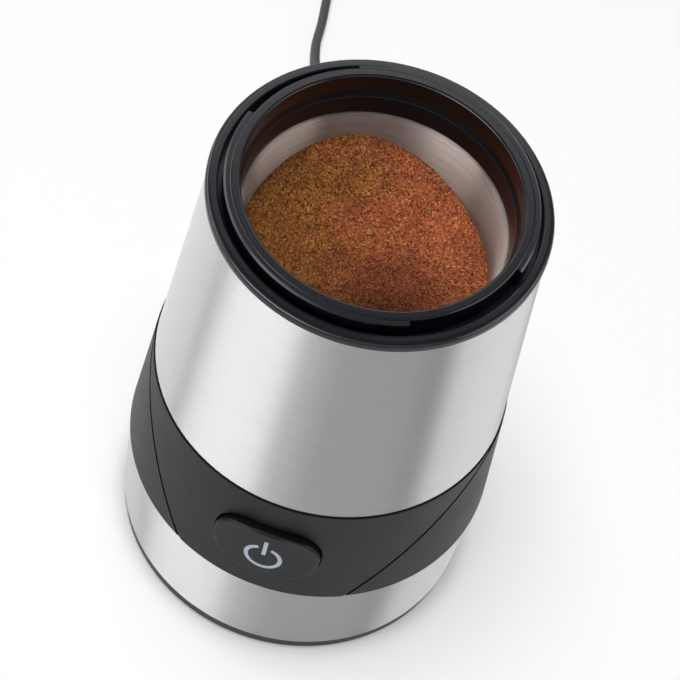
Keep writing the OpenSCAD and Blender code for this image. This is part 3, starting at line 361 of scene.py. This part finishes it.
def wallRadius(look, z):
    # inner radius of the bowl's tapered wall, less the gap
    rise = (z - look["footZ"]) / (look["topZ"] - look["footZ"])
    return look["wallFoot"] + (look["wallTop"] - look["wallFoot"]) * rise - look["gap"]


def spiceHeight(look, x, y, r):
    # the edge's height carried in towards the centre, r being the share of the way out to it, with swells and
    # lumps that calm down at the wall, and with grains and crumbs all over
    edge = wallHeight(look, np.arctan2(x, -y))
    seed = look["seed"]
    z = look["centre"] + (edge - look["centre"]) * r ** look["dish"]
    calm = np.clip((1 - r) * look["calmSlope"], look["calmest"], 1)
    z += calm * (waves(x, y, look["swells"], seed) + waves(x, y, look["lumps"], seed + 1))
    grains = np.random.default_rng(seed + 2).normal(size=x.shape)
    return z + look["grains"] * grains + waves(x, y, look["crumbs"], seed + 3)


def spiceTop(look):
    # a square grid pressed into a disc: each axis times the root of one less half the other's square
    n = look["cells"]
    u, v = np.meshgrid(np.linspace(-1, 1, n + 1), np.linspace(-1, 1, n + 1), indexing="ij")
    discX, discY = u * np.sqrt(1 - v ** 2 / 2), v * np.sqrt(1 - u ** 2 / 2)
    reach = wallRadius(look, wallHeight(look, np.arctan2(discX, -discY)))
    x, y = discX * reach, discY * reach
    points = np.stack([x, y, spiceHeight(look, x, y, np.hypot(discX, discY))], -1).reshape(-1, 3)
    side = np.arange(n)
    border = np.concatenate([side * (n + 1), n * (n + 1) + side, (n - side) * (n + 1) + n, n - side])
    return points, border


def makeSpice(look):
    # the top is closed by rings down the wall, round the bowl's bottom curve and up a hollow round the blade
    top, border = spiceTop(look)
    angle = np.arctan2(top[border, 1], top[border, 0])
    hollow, roof = look["cavityRadius"], look["cavityTop"]
    rings = []
    for share in look["wallShares"]:  # of the edge's height above the wall's foot
        z = look["footZ"] + (top[border, 2] - look["footZ"]) * share
        rings.append((wallRadius(look, z), z))
    rings += [*look["bottomCurve"], (hollow, look["cavityFoot"]), (hollow, look["cavityWall"])]
    rings += [(radius, roof) for radius in look["roofRadii"]]
    sides = [np.stack([radius * np.cos(angle), radius * np.sin(angle), np.broadcast_to(z, angle.shape)], -1)
             for radius, z in rings]
    points = np.vstack([top, *sides, [[0, 0, roof]]])
    count, base, columns = len(border), len(top), look["cells"] + 1
    ring = base + np.arange(count)
    faces = gridFaces(columns, columns, closed=False)[:, ::-1].tolist()
    faces += joinFaces(ring, border).tolist()
    faces += gridFaces(len(rings), count, first=base)[:, ::-1].tolist()
    faces += fanFaces(len(points) - 1, ring + (len(rings) - 1) * count).tolist()
    return addPiece("spice_heap", points, faces, "base_unit", "spice_ground")


spice = makeSpice(spiceLook)
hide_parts("ground_spice")
print("spice:", len(spice.data.polygons), "faces")


# Materials. Nearly all of a noise texture's values lie in the noise span.

noiseSpan = (0.3, 0.7)


def linearColour(code):
    # sRGB hex to linear light, with the sRGB curve undone for each channel
    part = np.array([int(code[k:k + 2], 16) for k in (1, 3, 5)]) / 255
    return (*np.where(part <= 0.04045, part / 12.92, ((part + 0.055) / 1.055) ** 2.4).tolist(), 1.0)


def setInputs(tree, node, inputs):
    # an input is a value, or a link where it is a (node, output) pair
    for name, value in inputs.items():
        if isinstance(value, tuple) and isinstance(value[0], bpy.types.Node):
            tree.links.new(value[0].outputs[value[1]], node.inputs[name])
        else:
            node.inputs[name].default_value = value


def addNode(tree, kind, settings, inputs):
    # settings are the node's own properties, and stops fill a colour ramp
    node = tree.nodes.new(kind)
    for name, value in settings.items():
        if name == "stops":
            while len(node.color_ramp.elements) < len(value):
                node.color_ramp.elements.new(1)
            for element, (place, code) in zip(node.color_ramp.elements, value):
                element.position, element.color = place, linearColour(code)
        else:
            setattr(node, name, value)
    setInputs(tree, node, inputs)
    return node


def startMaterial(name, sockets):
    material = bpy.data.materials.new(name)
    material.use_nodes = True
    tree = material.node_tree
    tree.nodes.clear()
    coords = addNode(tree, "ShaderNodeTexCoord", {}, {})
    shader = addNode(tree, "ShaderNodeBsdfPrincipled", {}, sockets)
    addNode(tree, "ShaderNodeOutputMaterial", {}, {"Surface": (shader, "BSDF")})
    return material, tree, shader, (coords, "Object")


def addNoise(tree, place, size, detail, rough=0.5):
    # cloudy noise in patches of about the size in millimetres
    return addNode(tree, "ShaderNodeTexNoise", {}, {
        "Vector": place, "Scale": 1 / (size * mm), "Detail": detail, "Roughness": rough})


def addLines(tree, place, length, spacing, detail, rough=0.5):
    # noise drawn out into level lines, with their length and spacing in millimetres
    scale = [1 / (length * mm), 1 / (length * mm), 1 / (spacing * mm)]
    stretched = addNode(tree, "ShaderNodeMapping", {}, {"Vector": place, "Scale": scale})
    return addNode(tree, "ShaderNodeTexNoise", {}, {
        "Vector": (stretched, "Vector"), "Scale": 1.0, "Detail": detail, "Roughness": rough})


def spreadValue(tree, value, span, low, high):
    # the values of a span spread from low to high
    return addNode(tree, "ShaderNodeMapRange", {}, {
        "Value": value, "From Min": span[0], "From Max": span[1], "To Min": low, "To Max": high})


def finishShader(tree, shader, look, tone, relief, swing, strength):
    # one noise moves the colour and, by the swing, the roughness; the other makes the bump
    stops = [*zip(noiseSpan, (look["dark"], look["light"]))]
    colour = addNode(tree, "ShaderNodeValToRGB", {"stops": stops}, {"Fac": (tone, "Fac")})
    rough = look["rough"]
    gloss = spreadValue(tree, (tone, "Fac"), noiseSpan, rough * (1 - swing), rough * (1 + swing))
    bump = addNode(tree, "ShaderNodeBump", {}, {
        "Height": (relief, "Fac"), "Distance": look["depth"] * mm, "Strength": strength})
    setInputs(tree, shader, {
        "Base Color": (colour, "Color"), "Roughness": (gloss, "Result"), "Normal": (bump, "Normal")})


def mouldedPlastic(name, look):
    # injection-moulded plastic: spark-eroded grain on the tool leaves an even fine bump, and the tone hardly
    # changes
    material, tree, shader, place = startMaterial(name, {"IOR": look.get("ior", 1.5)})
    cloud = addNoise(tree, place, size=18, detail=3.0)
    grain = addNoise(tree, place, size=look["grain"], detail=2.0, rough=0.6)
    finishShader(tree, shader, look, cloud, grain, swing=0.07, strength=0.5)
    return material


def brushedSteel(name, look):
    # stainless steel brushed or spun round the shaft's axis: fine level scratches, so that highlights run up
    # and down
    material, tree, shader, place = startMaterial(name, {
        "Metallic": 1.0, "Anisotropic": 1.0, "Anisotropic Rotation": 0.25})
    lines = addLines(tree, place, length=look["length"], spacing=look["spacing"], detail=4.0, rough=0.65)
    finishShader(tree, shader, look, lines, lines, swing=0.1, strength=0.6)
    tangent = addNode(tree, "ShaderNodeTangent", {"direction_type": "RADIAL", "axis": "Z"}, {})
    setInputs(tree, shader, {"Tangent": (tangent, "Tangent")})
    return material


def turnedMetal(name, look):
    # metal cut, pressed or drawn: faint tool lines and patches of dulled surface
    material, tree, shader, place = startMaterial(name, {"Metallic": 1.0})
    patches = addNoise(tree, place, size=5, detail=4.0)
    lines = addLines(tree, place, length=4, spacing=look["spacing"], detail=2.0)
    finishShader(tree, shader, look, patches, lines, swing=0.2, strength=0.5)
    return material


def mixColours(tree, share, first, second, blend="MIX"):
    # the mix node goes by numbers: inputs 6 and 7 and output 2 are its colours
    mix = addNode(tree, "ShaderNodeMix", {"data_type": "RGBA", "blend_type": blend}, {
        "Factor": share, 6: first, 7: second})
    return mix, 2


def groundSpice(name, look):
    # dry ground spice, quite matt: each grain is a cell with its own tone out of the rust or the ochre ones.
    # The ochre lies in patches, more at the left. Painted light brightens the back right and fades to painted
    # shade farther off, and a painted shadow darkens the front.
    material, tree, shader, place = startMaterial(name, {"Roughness": 0.9, "IOR": 1.4})
    grains = addNode(tree, "ShaderNodeTexVoronoi", {}, {"Vector": place, "Scale": 1 / (look["grain"] * mm)})
    pick = addNode(tree, "ShaderNodeSeparateColor", {}, {"Color": (grains, "Color")})
    rust = addNode(tree, "ShaderNodeValToRGB", {"stops": look["rust"]}, {"Fac": (pick, "Red")})
    ochre = addNode(tree, "ShaderNodeValToRGB", {"stops": look["ochre"]}, {"Fac": (pick, "Red")})
    drift = addNoise(tree, place, size=look["patch"], detail=4.0, rough=0.6)
    axes = addNode(tree, "ShaderNodeSeparateXYZ", {}, {"Vector": place})
    sides = [x * mm for x in look["ochreSides"]]
    across = spreadValue(tree, (axes, "X"), sides, *look["ochreShares"])
    share = addNode(tree, "ShaderNodeMath", {"operation": "ADD"}, {0: (drift, "Fac"), 1: (across, "Result")})
    yellow = spreadValue(tree, (share, "Value"), look["ochreSpan"], 0.0, 1.0)
    colour = mixColours(tree, (yellow, "Result"), (rust, "Color"), (ochre, "Color"))
    cloud = addNoise(tree, place, size=look["shade"], detail=3.0)
    levels = [spreadValue(tree, (cloud, "Fac"), look["shadeSpan"], look["shadeLevel"], 1.0)]
    # painted light and painted shadow: a brightness set by the distance from a point
    for paintedSpot in (look["paintedLight"], look["paintedShade"]):
        away = addNode(tree, "ShaderNodeVectorMath", {"operation": "DISTANCE"}, {
            0: place, 1: [k * mm for k in paintedSpot["at"]]})
        reach = [r * mm for r in paintedSpot["reach"]]
        levels.append(spreadValue(tree, (away, "Value"), reach, *paintedSpot["levels"]))
    for level in levels:
        colour = mixColours(tree, 1.0, colour, (level, "Result"), blend="MULTIPLY")
    bump = addNode(tree, "ShaderNodeBump", {}, {
        "Height": (grains, "Distance"), "Distance": look["depth"] * mm, "Strength": 0.7})
    setInputs(tree, shader, {"Base Color": colour, "Normal": (bump, "Normal")})
    return material


def paintedGlowSymbol(name, look):
    # frosted polycarbonate with a painted glow: it gives out bluish white light of its own, a little unevenly
    material, tree, shader, place = startMaterial(name, {
        "Base Color": linearColour(look["colour"]), "Roughness": look["rough"], "IOR": look["ior"],
        "Emission Color": linearColour(look["lamp"])})
    cloud = addNoise(tree, place, size=look["cloud"], detail=1.0)
    glow = spreadValue(tree, (cloud, "Fac"), noiseSpan, *look["glow"])
    setInputs(tree, shader, {"Emission Strength": (glow, "Result")})
    return material


# Finishes, one for each material slot and two for single nodes: the lower sleeve is the upper one's steel
# painted darker, a painted shade, and the power symbol has a painted glow.

finishes = {
    "foot_ring": mouldedPlastic("ABS foot ring, fine matt texture", {
        "dark": "#17181a", "light": "#1e1f21", "rough": 0.5, "grain": 0.5, "depth": 0.05}),
    "soft_rubber": mouldedPlastic("moulded rubber, matt", {
        "dark": "#1b1b1b", "light": "#252525", "rough": 0.8, "grain": 0.4, "depth": 0.06}),
    "boot_rubber": mouldedPlastic("flexible PVC boot, satin", {
        "dark": "#19191b", "light": "#212123", "rough": 0.55, "grain": 0.5, "depth": 0.05}),
    "zinc_screw": turnedMetal("zinc-plated steel", {
        "dark": "#8a8d90", "light": "#b9bcbe", "rough": 0.34, "spacing": 0.2, "depth": 0.02}),
    "steel_sleeve": brushedSteel("stainless sheet, brushed round", {
        "dark": "#b2b1b1", "light": "#c1c0c0", "rough": 0.5, "length": 22, "spacing": 0.35, "depth": 0.004}),
    # a darker copy of the steel above: painted shade on the lower sleeve
    "painted_shade_sleeve": brushedSteel("stainless sheet, brushed round, painted shade", {
        "dark": "#abaaaa", "light": "#b9b8b8", "rough": 0.5, "length": 22, "spacing": 0.35, "depth": 0.004}),
    "band_plastic": mouldedPlastic("ABS band, satin spark-eroded", {
        "dark": "#151516", "light": "#19191a", "rough": 0.5, "grain": 0.35, "depth": 0.03, "ior": 1.34}),
    "panel_plastic": mouldedPlastic("ABS panel, satin spark-eroded", {
        "dark": "#151516", "light": "#19191a", "rough": 0.48, "grain": 0.35, "depth": 0.03, "ior": 1.34}),
    "button_gloss": mouldedPlastic("ABS button, polished", {
        "dark": "#0d0d0f", "light": "#101012", "rough": 0.28, "grain": 1.5, "depth": 0.01, "ior": 1.25}),
    "symbol_clear": mouldedPlastic("clear polycarbonate", {
        "dark": "#d5e2ee", "light": "#dfe9f2", "rough": 0.3, "grain": 1.0, "depth": 0.01}),
    # the symbol's painted glow; the lamp entry is the colour of the light it gives out
    "symbol_painted_glow": paintedGlowSymbol("polycarbonate symbol, painted glow", {
        "colour": "#c1ccda", "rough": 0.4, "ior": 1.58, "lamp": "#c9dcf2", "cloud": 3, "glow": (0.06, 0.12)}),
    "collar_black": mouldedPlastic("ABS collar, polished", {
        "dark": "#0d0f15", "light": "#12141a", "rough": 0.24, "grain": 2.0, "depth": 0.01, "ior": 1.38}),
    # the bowl's steel is tinted warm all over: partly a painted reflection of the spice, partly spice dust
    "bowl_steel": brushedSteel("spun stainless bowl", {
        "dark": "#a99b94", "light": "#c6bbb5", "rough": 0.5, "length": 20, "spacing": 0.6, "depth": 0.006}),
    "blade_steel": turnedMetal("ground stainless blade", {
        "dark": "#b5b6b8", "light": "#d5d6d7", "rough": 0.25, "spacing": 0.3, "depth": 0.02}),
    "hidden_black": mouldedPlastic("black nylon", {
        "dark": "#202022", "light": "#29292b", "rough": 0.5, "grain": 0.6, "depth": 0.05}),
    "chassis_plastic": mouldedPlastic("natural polypropylene", {
        "dark": "#cfccc3", "light": "#dedbd3", "rough": 0.5, "grain": 0.8, "depth": 0.04}),
    "motor_bracket": turnedMetal("pressed zinc-plated bracket", {
        "dark": "#8f9295", "light": "#b3b6b9", "rough": 0.4, "spacing": 0.5, "depth": 0.02}),
    "sintered_bronze": turnedMetal("oiled sintered bronze", {
        "dark": "#8d6a38", "light": "#b98f55", "rough": 0.5, "spacing": 0.2, "depth": 0.03}),
    "holder_brass": turnedMetal("pressed brass", {
        "dark": "#b08f3e", "light": "#d6b565", "rough": 0.3, "spacing": 0.4, "depth": 0.02}),
    "lamination_steel": turnedMetal("stacked laminations, varnished", {
        "dark": "#55585c", "light": "#7d8186", "rough": 0.5, "spacing": 0.5, "depth": 0.08}),
    "winding_copper": turnedMetal("enamelled copper wire", {
        "dark": "#8a3f19", "light": "#c06f37", "rough": 0.35, "spacing": 0.4, "depth": 0.1}),
    "shaft_steel": turnedMetal("ground steel shaft", {
        "dark": "#a9acaf", "light": "#c7cacd", "rough": 0.25, "spacing": 0.15, "depth": 0.01}),
    "spring_steel": turnedMetal("drawn spring wire", {
        "dark": "#a5a8ab", "light": "#c9ccd0", "rough": 0.3, "spacing": 0.3, "depth": 0.01}),
    "brush_carbon": mouldedPlastic("pressed carbon", {
        "dark": "#26262a", "light": "#323236", "rough": 0.45, "grain": 0.3, "depth": 0.05}),
    "switch_case": mouldedPlastic("blue thermoset case", {
        "dark": "#19335f", "light": "#20406f", "rough": 0.4, "grain": 0.7, "depth": 0.03}),
    "board_green": mouldedPlastic("lacquered circuit board", {
        "dark": "#235a30", "light": "#2f6f3d", "rough": 0.3, "grain": 0.6, "depth": 0.03}),
    "seal_brown": mouldedPlastic("oil-resistant rubber", {
        "dark": "#4d271b", "light": "#5f3425", "rough": 0.6, "grain": 0.4, "depth": 0.04}),
    "spice_ground": groundSpice("ground spice, dry", {
        "grain": 0.42, "depth": 0.15, "patch": 20,
        "rust": [(0.0, "#41231a"), (0.14, "#643427"), (0.4, "#85452f"),
                 (0.7, "#9b5431"), (0.9, "#ab653a"), (1.0, "#bc8453")],
        "ochre": [(0.0, "#382414"), (0.14, "#5c381d"), (0.4, "#7e4c25"),
                  (0.7, "#925c2b"), (0.9, "#a36b32"), (1.0, "#b5864b")],
        "ochreSides": (-30, 20), "ochreShares": (0.22, -0.16), "ochreSpan": (0.48, 0.68),
        "shade": 8, "shadeSpan": (0.35, 0.65), "shadeLevel": 0.78,
        # painted light round the back right, and a painted shadow at the front
        "paintedLight": {"at": (18, 24, 129), "reach": (0, 52), "levels": (1.27, 0.66)},
        "paintedShade": {"at": (12, -14, 129), "reach": (4, 30), "levels": (0.3, 1.0)}}),
    "suppressor_case": mouldedPlastic("film capacitor case", {
        "dark": "#bfa932", "light": "#cdb940", "rough": 0.3, "grain": 0.8, "depth": 0.02}),
    "lead_sheath": mouldedPlastic("PVC lead sheath", {
        "dark": "#4f3a2c", "light": "#5f4735", "rough": 0.4, "grain": 0.5, "depth": 0.02}),
    "cord_black": mouldedPlastic("PVC flex sheath, matt", {
        "dark": "#37383a", "light": "#424346", "rough": 0.5, "grain": 0.6, "depth": 0.04}),
    "plug_black": mouldedPlastic("PVC plug body, matt", {
        "dark": "#1b1b1d", "light": "#232325", "rough": 0.5, "grain": 0.45, "depth": 0.06}),
    "pin_nickel": turnedMetal("nickel-plated pin", {
        "dark": "#c2c3c2", "light": "#dcdcdb", "rough": 0.18, "spacing": 0.2, "depth": 0.01}),
}
slotOf = {row["node"]: row["material_slot"] for row in frame["record"]["subparts"]}
ownFinish = {"lower_sleeve": "painted_shade_sleeve", "light_guide": "symbol_painted_glow"}
for name, node in nodes.items():
    node.data.materials.clear()
    node.data.materials.append(finishes[ownFinish.get(name, slotOf[name])])
for piece in (flex, plugBody, coilTie, buttonEdge, spice):
    piece.data.materials.append(finishes[piece["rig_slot"]])
print("finishes:", len(finishes))


# Floor of white paper. Its lift is a glow towards the camera and in reflections; the shadow stays on it.

stageLook = {"floorHalf": 3.0, "floorColour": "#d9d9d9", "floorLift": 0.265, "worldLevel": 0.22}


def makeFloor(look):
    corners = np.array([(-1, -1, 0), (1, -1, 0), (1, 1, 0), (-1, 1, 0)], float) * look["floorHalf"]
    mesh = bpy.data.meshes.new("floor")
    mesh.from_pydata(corners.tolist(), [], [[0, 1, 2, 3]])
    floor = bpy.data.objects.new("floor", mesh)
    bpy.context.scene.collection.objects.link(floor)
    material = bpy.data.materials.new("white paper floor")
    material.use_nodes = True
    tree = material.node_tree
    tree.nodes.clear()
    paper = addNode(tree, "ShaderNodeBsdfDiffuse", {}, {"Color": linearColour(look["floorColour"])})
    rays = addNode(tree, "ShaderNodeLightPath", {}, {})
    cameraOrGloss = addNode(tree, "ShaderNodeMath", {"operation": "MAXIMUM"}, {
        0: (rays, "Is Camera Ray"), 1: (rays, "Is Glossy Ray")})
    seen = addNode(tree, "ShaderNodeMath", {"operation": "MAXIMUM"}, {
        0: (cameraOrGloss, "Value"), 1: (rays, "Is Transmission Ray")})
    level = addNode(tree, "ShaderNodeMath", {"operation": "MULTIPLY"}, {
        0: (seen, "Value"), 1: look["floorLift"]})
    glow = addNode(tree, "ShaderNodeEmission", {}, {"Color": (1, 1, 1, 1), "Strength": (level, "Value")})
    both = addNode(tree, "ShaderNodeAddShader", {}, {0: (paper, "BSDF"), 1: (glow, "Emission")})
    addNode(tree, "ShaderNodeOutputMaterial", {}, {"Surface": (both, "Shader")})
    mesh.materials.append(material)


def makeWorld(look):
    world = bpy.data.worlds.new("studio")
    world.use_nodes = True
    tree = world.node_tree
    tree.nodes.clear()
    dome = addNode(tree, "ShaderNodeBackground", {}, {"Color": (1, 1, 1, 1), "Strength": look["worldLevel"]})
    addNode(tree, "ShaderNodeOutputWorld", {}, {"Surface": (dome, "Background")})
    bpy.context.scene.world = world


# Lamps, in metres, with azimuths from -Y towards +X. The cards and boxes stand upright, face the shaft's axis
# and show in reflections only. The one overhead is aimed at a height instead, and only lights.

lamps = {
    "far_card": {"azimuth": -99, "away": 0.9, "middle": 0.42, "size": (0.9, 0.56), "radiance": 3.5},
    "left_box": {"azimuth": -41, "away": 0.9, "middle": 0.42, "size": (0.87, 0.56), "radiance": 5.4},
    "left_card": {"azimuth": -28, "away": 0.95, "middle": 0.5, "size": (1.05, 0.4), "radiance": 2.0},
    "front_card": {"azimuth": 21, "away": 0.9, "middle": 0.41, "size": (1.15, 0.56), "radiance": 1.1},
    "right_box": {"azimuth": 94, "away": 0.9, "middle": 0.41, "size": (0.96, 0.58), "radiance": 3.5},
    "back_card": {"azimuth": 195, "away": 0.6, "middle": 0.68, "size": (0.66, 0.46), "radiance": 2.6},
    "top_box": {"azimuth": -65, "away": 0.13, "middle": 1.6, "size": (0.72, 0.66), "radiance": 15.1,
                "aim": 0.08},
}


def makeLamp(name, look):
    width, height = look["size"]
    upright = "aim" not in look
    data = bpy.data.lights.new(name, "AREA")
    data.shape, data.size, data.size_y = "RECTANGLE", width, height
    data.energy = look["radiance"] * math.pi * width * height
    lamp = bpy.data.objects.new(name, data)
    bpy.context.scene.collection.objects.link(lamp)
    turn = math.radians(look["azimuth"])
    place = Vector((look["away"] * math.sin(turn), -look["away"] * math.cos(turn), look["middle"]))
    aim = Vector((0, 0, look["middle"] if upright else look["aim"]))
    lamp.visible_diffuse, lamp.visible_glossy = not upright, upright
    lamp.location = place
    lamp.rotation_mode = "QUATERNION"
    lamp.rotation_quaternion = (aim - place).to_track_quat("-Z", "Y")


makeFloor(stageLook)
makeWorld(stageLook)
for name, look in lamps.items():
    makeLamp(name, look)
bpy.context.scene.view_settings.view_transform = "Standard"
print("stage and lamps made")
